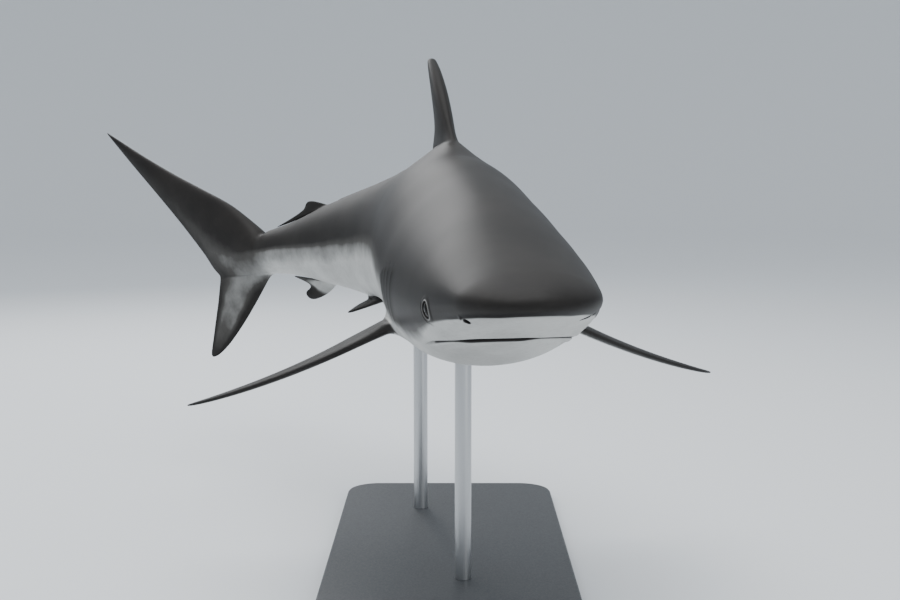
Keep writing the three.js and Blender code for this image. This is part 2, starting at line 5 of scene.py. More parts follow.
import bpy
import numpy as np
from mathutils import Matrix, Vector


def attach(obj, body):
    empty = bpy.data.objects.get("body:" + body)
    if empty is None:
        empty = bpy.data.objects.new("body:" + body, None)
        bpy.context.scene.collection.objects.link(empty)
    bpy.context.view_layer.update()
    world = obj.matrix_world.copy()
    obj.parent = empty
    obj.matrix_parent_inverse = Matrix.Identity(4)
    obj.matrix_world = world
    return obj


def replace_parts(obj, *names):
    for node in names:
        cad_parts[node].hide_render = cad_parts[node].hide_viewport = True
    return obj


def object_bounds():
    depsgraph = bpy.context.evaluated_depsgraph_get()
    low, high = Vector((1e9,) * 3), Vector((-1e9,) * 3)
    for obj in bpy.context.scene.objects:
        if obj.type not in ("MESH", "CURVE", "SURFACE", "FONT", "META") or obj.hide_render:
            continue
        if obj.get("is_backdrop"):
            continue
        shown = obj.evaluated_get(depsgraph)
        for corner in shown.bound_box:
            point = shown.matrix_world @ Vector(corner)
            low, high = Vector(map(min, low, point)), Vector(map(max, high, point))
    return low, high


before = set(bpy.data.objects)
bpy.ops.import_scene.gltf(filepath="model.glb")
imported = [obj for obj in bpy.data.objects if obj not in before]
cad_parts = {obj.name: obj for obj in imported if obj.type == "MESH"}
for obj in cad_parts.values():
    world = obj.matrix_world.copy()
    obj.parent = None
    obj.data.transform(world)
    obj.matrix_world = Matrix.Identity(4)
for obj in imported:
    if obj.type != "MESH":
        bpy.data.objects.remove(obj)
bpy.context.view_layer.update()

# ---------------------------------------------------------------- camera

SENSOR_WIDTH = 36
LENS = 51.49
CAMERA_PLACE = (0.0016, -2.1262, 0.6773)
CAMERA_TILT = 83.57  # degrees, 90 being level
camera = bpy.data.objects.new("camera", bpy.data.cameras.new("camera"))
camera.data.sensor_width = SENSOR_WIDTH
camera.data.lens = LENS
camera.location = CAMERA_PLACE
camera.rotation_euler = (math.radians(CAMERA_TILT), 0, 0)
bpy.context.scene.collection.objects.link(camera)
bpy.context.scene.camera = camera

# ---------------------------------------------------------------- the straight fish
# Points are (side, at, up): to its left, back from the snout and above its axis,
# in percent of its total length.

TOTAL_LENGTH = 2.2
PERCENT = TOTAL_LENGTH / 100
# The way the head points and how far the body rolls, in degrees.
HEADING = 7
ROLL = 0.9
# Each smooth bend of the axis: its degrees, where it starts and where it ends.
TURNS = [(1, 14, 40), (31, 36, 62), (14.6, 58, 80)]
DIPS = [(-1.4, 14, 45), (-7.7, 45, 78)]
AXIS_END = 104

# Cross sections of the body. slope narrows the back, full widens the belly.
STATIONS = np.array([
    # at, half, back, belly, widest, slope, full
    (0, 3.2, 0.95, -0.9, 0, 0.07, 0.13),
    (2, 3.55, 1.25, -1.1, -0.05, 0.07, 0.18),
    (4.3, 4.1, 1.85, -1.6, -0.27, 0.07, 0.27),
    (8.6, 4.9, 3.0, -3.2, -0.76, 0.06, 0.27),
    (12, 5.35, 3.9, -4.4, -1.05, 0.11, 0.16),
    (17, 5.85, 5.1, -5.7, -0.97, 0.25, 0.15),
    (22, 6.1, 6.1, -6.2, -0.66, 0.26, 0.15),
    (28, 6.1, 7.1, -6.3, -0.28, 0.16, 0.11),
    (35, 5.85, 7.6, -6.3, 0, 0.11, 0),
    (42, 5.45, 7.3, -6.1, 0, 0.1, 0),
    (50, 4.75, 6.2, -5.5, 0, 0.1, 0),
    (57, 3.9, 5.0, -4.5, 0, 0.1, 0),
    (63.5, 3.0, 3.85, -3.45, 0, 0.1, 0),
    (69, 2.2, 2.75, -2.4, 0, 0.1, 0),
    (73.6, 1.6, 2.2, -1.85, 0, 0.1, 0),
])
NOSE_LENGTH = 3.2
STOCK_END = 73.6

MOUTH_FRONT = 7.05
MOUTH_CORNER = 13.0
MOUTH_HALF_WIDTH = 4.12
MOUTH_ARCH_POWER = 2.4
# Each eye looks out to its side, turned a little forward and tipped a little down.
EYE = {
    "at": 8.12, "side": 4.09, "up": -0.9, "turn": 10, "tip": 7.5,
    "radius": 0.78, "length": 1.2, "height": 1.04,
}
EYE_MARGIN = 0.22
# The middle of the lids' opening.
LIDS = {"at": 8.0, "up": -0.99}
NOSTRIL = {"at": 3.95, "side": 3.08, "length": 0.8, "width": 0.28, "turn": -18}
# Each gill slit's station, lower end and upper end.
GILL_SLITS = [(18.3, -3.3, 0.5), (19.7, -3.4, 0.5), (21.0, -3.4, 0.4), (22.2, -3.1, 0.2), (23.2, -2.6, -0.1)]
GILL_LEAN = 0.45
# The back's soft rise to the first dorsal fin's foot.
SADDLE = {"from": 29.5, "full": 35.5, "fade": 39.5, "to": 43.5, "height": 0.75, "half": 1.4, "reach": 1.2}
# Round that foot the skin takes over the stiff fin's direction.
FOOT = {"from": 30, "full": 34.5, "fade": 43, "to": 47, "half": 1.8}
BACK_ABOVE = 4  # what lies lower keeps out of both
# The low ridge between the dorsal fins, and the pits in front of the tail fin.
RIDGE = {"from": 45.5, "full": 48.5, "fade": 61, "to": 62.6, "height": 0.14, "half": 0.22}
PIT = {
    "at": 73.2, "length": 0.42, "half": 0.75, "depth": 0.24, "shade_length": 0.32, "shade_half": 0.7,
}

# Ribs of each fin, root to tip: front edge, rear edge, half thickness.
FIRST_DORSAL = [
    ((34.0, 7.35), (42.6, 6.95), 0.68), ((35.3, 8.9), (45.2, 7.2), 0.64), ((36.7, 10.5), (42.2, 8.7), 0.63),
    ((38.4, 12.3), (42.0, 10.8), 0.6), ((40.3, 13.9), (42.9, 12.9), 0.5), ((41.9, 14.9), (43.7, 14.3), 0.38),
    ((42.9, 15.3), (43.6, 15.1), 0.22),
]
SECOND_DORSAL = [
    ((62.6, 3.7), (65.9, 3.1), 0.3), ((63.9, 4.1), (71.6, 2.45), 0.2), ((65.1, 4.4), (67.6, 3.55), 0.16),
    ((66.1, 4.6), (66.8, 4.3), 0.08),
]
ANAL = [
    ((62.6, -3.35), (66.2, -2.8), 0.3), ((63.7, -4.05), (69.8, -2.45), 0.2),
    ((64.9, -4.55), (67.0, -3.5), 0.17), ((66.2, -4.85), (67.9, -4.0), 0.12),
    ((67.3, -4.95), (68.2, -4.4), 0.06),
]
LOWER_LOBE = [
    ((72.5, -1.4), (80.3, -0.9), 0.62), ((74.2, -3.0), (80.9, -2.6), 0.46),
    ((76.1, -4.8), (81.5, -4.3), 0.36), ((78.3, -6.75), (82.3, -6.2), 0.27),
    ((80.6, -8.55), (83.0, -8.0), 0.17), ((82.2, -9.45), (83.5, -9.2), 0.1),
    ((83.1, -9.75), (83.5, -9.7), 0.05),
]
PECTORAL = [
    ((21.6, 0), (27.2, 0), 0.5), ((22.8, 1.9), (30.8, 2.4), 0.36), ((24.8, 4.9), (31.0, 4.8), 0.3),
    ((27.2, 8.3), (31.6, 8.2), 0.25), ((29.6, 11.6), (32.5, 11.5), 0.19), ((31.5, 13.9), (33.1, 13.7), 0.12),
    ((33.0, 15.2), (33.4, 15.1), 0.05),
]
PELVIC = [
    ((49.0, 0), (53.2, 0), 0.34), ((50.4, 1.1), (53.9, 0.95), 0.2), ((51.9, 1.9), (53.8, 1.75), 0.14),
    ((53.1, 2.45), (53.6, 2.4), 0.07),
]
UPPER_LOBE = [
    ((73.6, 2.2), (73.6, -1.85), 1.6), ((75.5, 3.9), (77.0, -1.9), 1.3),
    ((78.0, 5.8), (80.55, -1.4), 0.95), ((81.4, 7.7), (82.5, 1.1), 0.75),
    ((85.5, 9.95), (85.35, 4.65), 0.56), ((89.5, 12.35), (88.65, 8.45), 0.4),
    ((92.7, 14.4), (91.9, 12.1), 0.24), ((95.1, 15.95), (94.9, 15.6), 0.07),
]
# How oval the upper lobe is at each of its ribs, from the tail stock's section to a fin's.
LOBE_ROUND = [1, 0.85, 0.45, 0.15, 0, 0, 0, 0]
FIN_EDGE = 0.02
# How each paired fin leaves the body: the root's place, its droop at root and tip, its pitch.
PECTORAL_LEFT = {"side": 5.6, "up": -3.6, "droop": (28, 16), "pitch": -1}
PECTORAL_RIGHT = {"side": 5.6, "up": -3.85, "droop": (30, 15.5), "pitch": -4}
PELVIC_EITHER = {"side": 2.3, "up": -4.45, "droop": (28, 24), "pitch": -4}
# The first dorsal fin is stiff: it keeps the direction of one place on the body.
STIFF_AT = 39
STIFF_TURN = 0.5
STIFF_SIDE = 0.3
STIFF_LEAN = -0.033
STIFF_ABOVE = 7.5
# The belly's height over the base, in metres, and the station above the base's middle.
BELLY_HEIGHT = 0.36
BASE_THICK = 0.016
BASE_UNDER = 35.4


def smooth(low, high, x):
    """A soft step from 0 at low to 1 at high."""
    t = np.clip((x - low) / (high - low), 0, 1)
    return t * t * (3 - 2 * t)


def bump(x, middle, width):
    """A soft hill of height 1 about middle."""
    return np.exp(-(((x - middle) / width) ** 2))


def along_body(form, at):
    """1 over a form's length of the body, with a soft step at each end."""
    return smooth(form["from"], form["full"], at) * (1 - smooth(form["fade"], form["to"], at))


# ---------------------------------------------------------------- the axis

AXIS_STEP = 0.25
axis_at = np.arange(0, AXIS_END + AXIS_STEP, AXIS_STEP)


def heading(at):
    """The body's turn to its left at a station."""
    return np.radians(HEADING + sum(turn * smooth(low, high, at) for turn, low, high in TURNS))


def dip(at):
    """How far the body points up at a station."""
    return np.radians(sum(fall * smooth(low, high, at) for fall, low, high in DIPS))


def direction(at):
    turn, fall = heading(at), dip(at)
    return np.stack([-np.sin(turn) * np.cos(fall), np.cos(turn) * np.cos(fall), np.sin(fall)], -1)


steps = (direction(axis_at)[1:] + direction(axis_at)[:-1]) * AXIS_STEP / 2
axis_points = np.vstack([np.zeros(3), np.cumsum(steps, 0)])


def axis_point(at):
    """A point of the axis; in front of the snout the axis runs on straight."""
    inside = np.clip(at, 0, None)
    found = np.stack([np.interp(inside, axis_at, axis_points[:, k]) for k in range(3)], -1)
    return found + np.clip(at, None, 0)[..., None] * direction(np.zeros(1))


def through_stations(column):
    """A smooth curve through the stations' values that never overshoots them."""
    x, y = STATIONS[:, 0], STATIONS[:, column]
    gap = np.diff(x)
    rise = np.diff(y) / gap
    slope = np.zeros(len(x))
    slope[0], slope[-1] = rise[0], rise[-1]
    for i in range(1, len(x) - 1):
        if rise[i - 1] * rise[i] > 0:
            before, after = 2 * gap[i] + gap[i - 1], gap[i] + 2 * gap[i - 1]
            slope[i] = (before + after) / (before / rise[i - 1] + after / rise[i])

    def value(at):
        i = np.clip(np.searchsorted(x, at, side="right") - 1, 0, len(x) - 2)
        t = (at - x[i]) / gap[i]
        u = 1 - t
        return ((1 + 2 * t) * u * u * y[i] + t * u * u * gap[i] * slope[i]
                + t * t * (3 - 2 * t) * y[i + 1] - t * t * u * gap[i] * slope[i + 1])

    return value


half_of, back_of, belly_of, widest_of, slope_of, full_of = (through_stations(k) for k in range(1, 7))


def ring_points(at, angle):
    """Points of the body's surface, the angle going from the top down the left flank."""
    at, angle = np.broadcast_arrays(np.asarray(at, float), np.asarray(angle, float))
    to_tip = np.clip((NOSE_LENGTH - at) / NOSE_LENGTH, 0, 1)
    nose = np.sqrt(1 - to_tip**2)
    c = np.cos(angle)
    squeeze = np.where(c > 0, 1 - slope_of(at) * c * c, 1 + full_of(at) * c * c)
    height = np.where(c > 0, back_of(at) - widest_of(at), widest_of(at) - belly_of(at))
    return np.stack([half_of(at) * nose * np.sin(angle) * squeeze, at, widest_of(at) + height * nose * c], -1)


above_base = axis_point(np.array([BASE_UNDER]))[0]
lift = BASE_THICK + BELLY_HEIGHT - (belly_of(BASE_UNDER) + above_base[2]) * PERCENT


def placed(points, stiff=None):
    """Points of the straight fish, carried to their place in the turning fish, in metres.
    Where stiff is 1, they keep the direction of one place on the body, as the first dorsal fin does."""
    side, at, up = np.asarray(points, float).T
    stations = [at] if stiff is None else [at, np.full(len(at), float(STIFF_AT))]
    carried = []
    for station in stations:
        turn = heading(station)
        along = direction(station)
        level = np.stack([np.cos(turn), np.sin(turn), 0 * turn], -1)
        upright = np.cross(level, along)
        roll = math.radians(ROLL)
        left = level * math.cos(roll) + upright * math.sin(roll)
        above = upright * math.cos(roll) - level * math.sin(roll)
        sideways = side
        if station is not at:
            twist = math.radians(STIFF_TURN)
            turned = left * math.cos(twist) + along * math.sin(twist)
            along = along * math.cos(twist) - left * math.sin(twist)
            left = turned
            sideways = side + STIFF_SIDE + STIFF_LEAN * (up - STIFF_ABOVE)
        found = axis_point(station) + along * (at - station)[:, None]
        found += left * sideways[:, None] + above * up[:, None]
        found[:, :2] -= above_base[:2]
        found *= PERCENT
        found[:, 2] += lift
        carried.append(found)
    if stiff is None:
        return carried[0]
    return carried[0] * (1 - stiff[:, None]) + carried[1] * stiff[:, None]


# ---------------------------------------------------------------- the cage of the skin

COLUMNS = 48
TIP_ROUND = 0.6  # how many ribs from its tip a fin starts to round off
TIP_SHRINK = 0.85
angles = np.arange(COLUMNS) * 2 * math.pi / COLUMNS


def wing_profile(c):
    """How thick a fin is across its chord, 1 being the most: a wing section, round in front."""
    return 10 * (0.2969 * np.sqrt(c) - 0.126 * c - 0.3516 * c**2 + 0.2843 * c**3 - 0.1036 * c**4)


def spline(points, t):
    """The uniform Catmull-Rom curve through points, t counting the points."""
    points = np.asarray(points, float)
    i = min(int(t), len(points) - 2)
    u = t - i
    p1, p2 = points[i], points[i + 1]
    p0 = points[i - 1] if i > 0 else p1
    p3 = points[i + 2] if i + 2 < len(points) else p2
    v0, v1 = (p2 - p0) / 2, (p3 - p1) / 2
    return (2 * p1 - 2 * p2 + v0 + v1) * u**3 + (3 * p2 - 3 * p1 - 2 * v0 - v1) * u**2 + v0 * u + p1


def rib(ribs, t):
    """The front edge, rear edge and half thickness of a fin at t, rounded towards its tip."""
    front = spline([r[0] for r in ribs], t)
    rear = spline([r[1] for r in ribs], t)
    thick = float(np.interp(t, range(len(ribs)), [r[2] for r in ribs]))
    to_tip = (len(ribs) - 1 - t) / TIP_ROUND
    if to_tip < 1 and ribs is not UPPER_LOBE:
        keep = math.sqrt(1 - TIP_SHRINK * (1 - to_tip) ** 2)
        middle = (front + rear) / 2
        front = middle + (front - middle) * keep
        rear = middle + (rear - middle) * keep
        thick = thick * keep
    return front, rear, thick


def lobe_ring(t):
    """A ring of the upper lobe at t, which counts its ribs."""
    front, rear, thick = rib(UPPER_LOBE, t)
    rounding = float(np.interp(t, range(len(LOBE_ROUND)), LOBE_ROUND))
    c = (1 - np.cos(angles)) / 2
    sine = np.sin(angles)
    half = ((1 - rounding) * wing_profile(c) + rounding * np.abs(sine)) * thick + FIN_EDGE
    half = np.where(np.abs(sine) < 1e-6, 0, half)
    at = front[0] + (rear[0] - front[0]) * c
    up = front[1] + (rear[1] - front[1]) * c
    return np.stack([np.sign(sine) * half, at, up], -1)


CAP_RING = 0.35
# Lengths of the body and how many rings each gets, so that rings fall on every fin's root.
PARTS = [
    (CAP_RING, 2.5, 6), (2.5, 7.0, 11), (7.0, 13.0, 16), (13.0, 17.8, 9), (17.8, 21.3, 9),
    (21.3, 27.3, 13), (27.3, 33.8, 6), (33.8, 42.8, 12), (42.8, 48.8, 5), (48.8, 53.4, 6),
    (53.4, 62.4, 8), (62.4, 66.2, 5), (66.2, 72.6, 7), (72.6, STOCK_END, 1),
]
LOBE_TIP = len(UPPER_LOBE) - 1
LOBE_RINGS = list(np.arange(0.2, 2.01, 0.2)) + list(np.arange(2.3, LOBE_TIP - 0.1, 0.3)) + [float(LOBE_TIP)]
IN_LOBE = 200  # added to t, it numbers the upper lobe's rings after the body's stations

verts, faces, notes = [], [], []


def add_points(points, fin=0.0, span=0.0, chord=0.5, under=0.0):
    """Adds cage points with what the colouring needs to know of them, and returns their numbers."""
    first = len(verts)
    chord, under = np.broadcast_to(chord, len(points)), np.broadcast_to(under, len(points))
    for point, c, w in zip(points, chord, under):
        verts.append(tuple(point))
        notes.append((fin, span, c, w))
    return list(range(first, len(verts)))


ring_ids, ring_at = [], []
for low, high, count in PARTS:
    for at in np.linspace(low, high, count, endpoint=False):
        ring_at.append(at)
ring_at.append(STOCK_END)
for at in ring_at:
    ring_ids.append(add_points(ring_points(at, angles)))
for t in LOBE_RINGS:
    fade = float(smooth(0.2, 2.2, t))
    ring_ids.append(add_points(lobe_ring(t), fade, fade * t / LOBE_TIP, (1 - np.cos(angles)) / 2))
ring_at = np.array(ring_at + [IN_LOBE + t for t in LOBE_RINGS])


def ring_number(at):
    """The ring nearest to a station."""
    return int(np.argmin(np.abs(ring_at - at)))


holes = []  # (first ring, last ring, first column, last column) of each fin's root


def in_hole(r, j):
    """Whether a fin's root takes the place of the face at ring r and column j."""
    return any(r0 <= r < r1 and (j - j0) % COLUMNS < j1 - j0 for r0, r1, j0, j1 in holes)


def root_loop(r0, r1, j0, j1):
    """The cage points round a fin's root, and for each its chord and its side, -1 to 1."""
    loop = [(r0, j, 0, 2 * (j - j0) / (j1 - j0) - 1) for j in range(j0, j1)]
    loop += [(r, j1, (r - r0) / (r1 - r0), 1) for r in range(r0, r1)]
    loop += [(r1, j, 1, 2 * (j - j0) / (j1 - j0) - 1) for j in range(j1, j0, -1)]
    loop += [(r, j0, (r - r0) / (r1 - r0), -1) for r in range(r1, r0, -1)]
    return [(ring_ids[r][j % COLUMNS], c, w) for r, j, c, w in loop]


def grow_fin(front_at, rear_at, columns, rings, point):
    """Grows a fin out of the body: point(t, c, w) gives its surface, t counting ribs.
    c runs from the front edge to the rear one, w from the right face, -1, to the left one."""
    reach = rings[-1]
    hole = (ring_number(front_at), ring_number(rear_at), *columns)
    holes.append(hole)
    loop = root_loop(*hole)
    c = np.array([entry[1] for entry in loop], float)
    w = np.array([entry[2] for entry in loop], float)
    c = (c + (1 - np.cos(np.pi * c)) / 2) / 2
    before = [entry[0] for entry in loop]
    for t in rings:
        new = add_points(point(t, c, w), 1.0, t / reach, c, w)
        for k in range(len(loop)):
            nxt = (k + 1) % len(loop)
            faces.append((before[k], before[nxt], new[nxt], new[k]))
        before = new
    across = columns[1] - columns[0]
    along = hole[1] - hole[0]
    left = [before[(across + k) % len(loop)] for k in range(along + 1)]
    right = [before[-k % len(loop)] for k in range(along + 1)]
    front_mid = before[1:across]
    rear_mid = before[across + along + 1:2 * across + along]
    for k in range(along):
        faces.append((right[k], left[k], left[k + 1], right[k + 1]))
    if front_mid:
        faces.append((right[0], *front_mid, left[0]))
        faces.append((left[-1], *rear_mid, right[-1]))


LEADING = 0.012  # where along the chord the rounded front edge ends


def fin_section(ribs, t, c, w):
    """Chord places and signed half thickness round a rib, rounded at its front."""
    front, rear, thick = rib(ribs, t)
    chord = LEADING + (1 - LEADING) * c
    half = thick * wing_profile(chord) + FIN_EDGE
    at_front = c < 1e-6
    chord = np.where(at_front, LEADING * w * w, chord)
    half = np.where(at_front, (thick * wing_profile(LEADING) + FIN_EDGE) * w, half * w)
    return front, rear, chord, half


def middle_fin(ribs, hand, clear=0.12):
    """A fin of the middle plane; hand is the side that w = 1 faces, clear its least gap to the body."""

    def point(t, c, w):
        front, rear, chord, half = fin_section(ribs, t, c, w)
        at = front[0] + (rear[0] - front[0]) * chord
        up = front[1] + (rear[1] - front[1]) * chord
        if hand > 0:
            up = np.maximum(up, back_of(np.minimum(at, STOCK_END)) + clear)
        elif ribs is not LOWER_LOBE:
            up = np.minimum(up, belly_of(np.minimum(at, STOCK_END)) - clear)
        return np.stack([hand * half, at, up], -1)

    return point


def paired_fin(ribs, hand, side, up, droop, pitch):
    """One fin of a pair: its span bends down from the body by the droop, from root to tip."""
    span = ribs[-1][0][1]
    hinge = (ribs[0][0][0] + ribs[0][1][0]) / 2

    def point(t, c, w):
        front, rear, chord, half = fin_section(ribs, t, c, w)
        half = -half * hand
        at = front[0] + (rear[0] - front[0]) * chord
        v = front[1] + (rear[1] - front[1]) * chord
        here = np.radians(droop[0] + (droop[1] - droop[0]) * v / span)
        middle = np.radians(droop[0] + (droop[1] - droop[0]) * v / 2 / span)
        out = side + v * np.cos(middle) + half * np.sin(here)
        high = up - v * np.sin(middle) + half * np.cos(here) + (at - hinge) * math.tan(math.radians(pitch))
        return np.stack([hand * out, at, high], -1)

    return point


# Where each fin's rings lie, t counting its ribs: closer together at its root and tip.
TIP_3 = (2.5, 2.7, 2.84, 2.94, 3)
TIP_6 = (5.5, 5.7, 5.84, 5.94, 6)
FIRST_DORSAL_RINGS = (0.22, 0.4, 0.6, 0.8, 1.0, 1.25, 1.6, 2, 2.5, 3, 3.6, 4.2, 4.8, 5.3, *TIP_6)
SECOND_DORSAL_RINGS = (0.25, 0.5, 0.75, 1.0, 1.3, 1.7, 2.2, *TIP_3)
ANAL_RINGS = (0.25, 0.5, 0.75, 1.0, 1.3, 1.8, 2.4, 3, 3.4, 3.65, 3.82, 3.94, 4)
LOWER_LOBE_RINGS = (0.5, 0.8, 1.2, 1.7, 2.2, 2.7, 3.3, 3.9, 4.5, 5.0, 5.3, *TIP_6)
PECTORAL_RINGS = (0.15, 0.4, 0.7, 1, 1.3, 1.7, 2.1, 2.6, 3.1, 3.6, 4.1, 4.6, 5.0, 5.3, *TIP_6)
PELVIC_RINGS = (0.2, 0.5, 0.8, 1, 1.3, 1.7, 2.2, *TIP_3)

grow_fin(33.8, 42.8, (-1, 1), FIRST_DORSAL_RINGS, middle_fin(FIRST_DORSAL, 1))
grow_fin(62.4, 66.2, (-1, 1), SECOND_DORSAL_RINGS, middle_fin(SECOND_DORSAL, 1, 0.06))
grow_fin(62.4, 66.2, (23, 25), ANAL_RINGS, middle_fin(ANAL, -1))
grow_fin(72.6, IN_LOBE + 2.0, (21, 27), LOWER_LOBE_RINGS, middle_fin(LOWER_LOBE, -1))
grow_fin(21.3, 27.3, (16, 18), PECTORAL_RINGS, paired_fin(PECTORAL, 1, **PECTORAL_LEFT))
grow_fin(21.3, 27.3, (30, 32), PECTORAL_RINGS, paired_fin(PECTORAL, -1, **PECTORAL_RIGHT))
grow_fin(48.8, 53.4, (19, 21), PELVIC_RINGS, paired_fin(PELVIC, 1, **PELVIC_EITHER))
grow_fin(48.8, 53.4, (27, 29), PELVIC_RINGS, paired_fin(PELVIC, -1, **PELVIC_EITHER))

for r in range(len(ring_ids) - 1):
    for j in range(COLUMNS):
        if not in_hole(r, j):
            nxt = (j + 1) % COLUMNS
            faces.append((ring_ids[r][j], ring_ids[r][nxt], ring_ids[r + 1][nxt], ring_ids[r + 1][j]))

# The upper lobe's tip is closed flat, the snout with a square patch.
tip = ring_ids[-1]
faces.append((tip[0], tip[1], tip[-1]))
for j in range(1, COLUMNS // 2 - 1):
    faces.append((tip[j], tip[j + 1], tip[-j - 1], tip[-j]))
faces.append((tip[COLUMNS // 2 - 1], tip[COLUMNS // 2], tip[COLUMNS // 2 + 1]))

CELLS = COLUMNS // 4
cap_nose = math.sqrt(1 - ((NOSE_LENGTH - CAP_RING) / NOSE_LENGTH) ** 2)
cap = {}
for i in range(CELLS + 1):
    for j in range(CELLS + 1):
        x, y = 2 * i / CELLS - 1, 2 * j / CELLS - 1
        radius = max(abs(x), abs(y))
        if radius < 1e-9:
            angle = 0.0
        elif abs(y) >= abs(x):
            lean = math.pi / 4 * x / abs(y)
            angle = lean if y > 0 else math.pi - lean
        else:
            lean = math.pi / 4 * y / abs(x)
            angle = math.pi / 2 - lean if x > 0 else -math.pi / 2 + lean
        if radius > 1 - 1e-9:
            cap[i, j] = ring_ids[0][round(angle / (2 * math.pi) * COLUMNS) % COLUMNS]
        else:
            at = NOSE_LENGTH * (1 - math.sqrt(1 - (radius * cap_nose) ** 2))
            cap[i, j] = add_points(ring_points([at], [angle]))[0]
for i in range(CELLS):
    for j in range(CELLS):
        faces.append((cap[i, j], cap[i + 1, j], cap[i + 1, j + 1], cap[i, j + 1]))

# ---------------------------------------------------------------- subdivision

LEVELS = 3
NOTES = ("fin", "span", "chord", "under")  # what each point knows of the fin that it is on
cage = bpy.data.meshes.new("cage")
cage.from_pydata(verts, [], faces)
for k, name in enumerate(NOTES):
    layer = cage.attributes.new(name, "FLOAT", "POINT")
    layer.data.foreach_set("value", np.array(notes, np.float32)[:, k].copy())
cage_object = bpy.data.objects.new("cage", cage)
bpy.context.scene.collection.objects.link(cage_object)
subdivision = cage_object.modifiers.new("smooth", "SUBSURF")
subdivision.levels = subdivision.render_levels = LEVELS
mesh = bpy.data.meshes.new_from_object(cage_object.evaluated_get(bpy.context.evaluated_depsgraph_get()))
mesh.name = "skin"
bpy.data.objects.remove(cage_object)
bpy.data.meshes.remove(cage)

count = len(mesh.vertices)
points = np.empty(count * 3, np.float32)
mesh.vertices.foreach_get("co", points)
points = points.reshape(-1, 3).astype(float)
kept = []
for name in NOTES:
    values = np.empty(count, np.float32)
    mesh.attributes[name].data.foreach_get("value", values)
    kept.append(values)
points = np.column_stack([points, *kept])
corners = np.empty(len(mesh.loops), np.int32)
mesh.loops.foreach_get("vertex_index", corners)
quads = corners.reshape(-1, 4).astype(np.int64)
bpy.data.meshes.remove(mesh)
odd = []  # faces with more than four corners, round the refined patches


def refine(chosen):
    """Splits the chosen quads in four; their neighbours take the new points into their edges."""
    global points, quads, odd
    total = len(points)
    picked, rest = quads[chosen], quads[~chosen]
    starts, ends = picked, np.roll(picked, -1, 1)
    keys = np.minimum(starts, ends) * total + np.maximum(starts, ends)
    edges, where = np.unique(keys, return_inverse=True)
    where = where.reshape(keys.shape) + total
    middles = (points[edges // total] + points[edges % total]) / 2
    centres = points[picked].mean(1)
    centre_ids = total + len(edges) + np.arange(len(picked))
    small = [np.stack([picked[:, k], where[:, k], centre_ids, where[:, k - 1]], 1) for k in range(4)]
    rest_starts, rest_ends = rest, np.roll(rest, -1, 1)
    rest_keys = np.minimum(rest_starts, rest_ends) * total + np.maximum(rest_starts, rest_ends)
    touched = np.isin(rest_keys, edges).any(1)
    around = [tuple(face) for face in rest[touched]] + odd
    odd = []
    for face in around:
        grown = []
        for k, a in enumerate(face):
            b = face[(k + 1) % len(face)]
            key = min(a, b) * total + max(a, b)
            i = np.searchsorted(edges, key)
            grown.append(int(a))
            if i < len(edges) and edges[i] == key:
                grown.append(total + int(i))
        odd.append(tuple(grown))
    points = np.vstack([points, middles, centres])
    quads = np.vstack([rest[~touched], *small])


def near(box):
    """Which quads have their middle in a box of the straight fish, on either side."""
    middle = points[quads, :3].mean(1)
    (o0, o1), (a0, a1), (u0, u1) = box
    out = np.abs(middle[:, 0])
    return ((out > o0) & (out < o1) & (middle[:, 1] > a0) & (middle[:, 1] < a1)
            & (middle[:, 2] > u0) & (middle[:, 2] < u1))


def mouth_distance(at, outer):
    """How far a point lies behind the mouth's arch, in percent."""
    x = np.clip(outer / MOUTH_HALF_WIDTH, 1e-6, None)
    y = np.clip((MOUTH_CORNER - at) / (MOUTH_CORNER - MOUTH_FRONT), 1e-6, None)
    q = MOUTH_ARCH_POWER
    level = x**q + y**q
    across = q * x ** (q - 1) / MOUTH_HALF_WIDTH
    along = q * y ** (q - 1) / (MOUTH_CORNER - MOUTH_FRONT)
    return (1 - level) / np.maximum(np.hypot(across, along), 0.05)


def near_lips(offset, reach, corner):
    """Which quads have their middle along the lips, no further back than corner."""
    out, at, up = points[quads, :3].mean(1).T
    behind = mouth_distance(at, np.abs(out))
    return (np.abs(behind - offset) < reach) & (at < corner) & (up < LIPS_BELOW)


def eye_ring(at, up):
    """How far a point lies from the middle of the eye, 1 being the lids' opening."""
    return np.hypot((at - LIDS["at"]) / (EYE["length"] / 2), (up - LIDS["up"]) / (EYE["height"] / 2))


# The places of the eyes, nostrils and gills: outer, at and up limits.
EYE_BOX = ((3.9, 5.4), (6.8, 9.2), (-1.95, 0.1))
NOSE_BOX = ((2.2, 3.7), (2.9, 4.6), (-2.0, -0.3))
GILL_BOX = ((4.5, 7), (17.4, 24.0), (-3.7, 0.9))
LIPS_BELOW = -1.7
refine(near_lips(0, 0.4, 13.4) | near(EYE_BOX) | near(NOSE_BOX) | near(GILL_BOX))
refine(near_lips(0.05, 0.25, 12.6) | near(EYE_BOX) | near(NOSE_BOX))
middle = points[quads, :3].mean(1)
refine((eye_ring(middle[:, 1], middle[:, 2]) < 1.15) & near(EYE_BOX))

count = len(points)
fin, span, chord, under = points[:, 3:].T
points = points[:, :3].copy()
side, at, up = points.T.copy()


def normals_of(p):
    """The skin's normals, one for each point."""
    total = np.zeros_like(p)
    across = np.cross(p[quads[:, 2]] - p[quads[:, 0]], p[quads[:, 3]] - p[quads[:, 1]])
    for k in range(4):
        np.add.at(total, quads[:, k], across)
    for face in odd:
        ring = p[list(face)]
        total[list(face)] += np.cross(ring, np.roll(ring, -1, 0)).sum(0)
    return total / np.maximum(np.linalg.norm(total, axis=1), 1e-12)[:, None]


normal = normals_of(points)
on_body = 1 - smooth(0.0, 0.35, fin)
outer = np.abs(side)
push = np.zeros(count)  # how far each point moves out along its normal, in percent
shift = np.zeros_like(points)
painted_shade = np.zeros(count)  # painted shade inside the slits, openings and creases
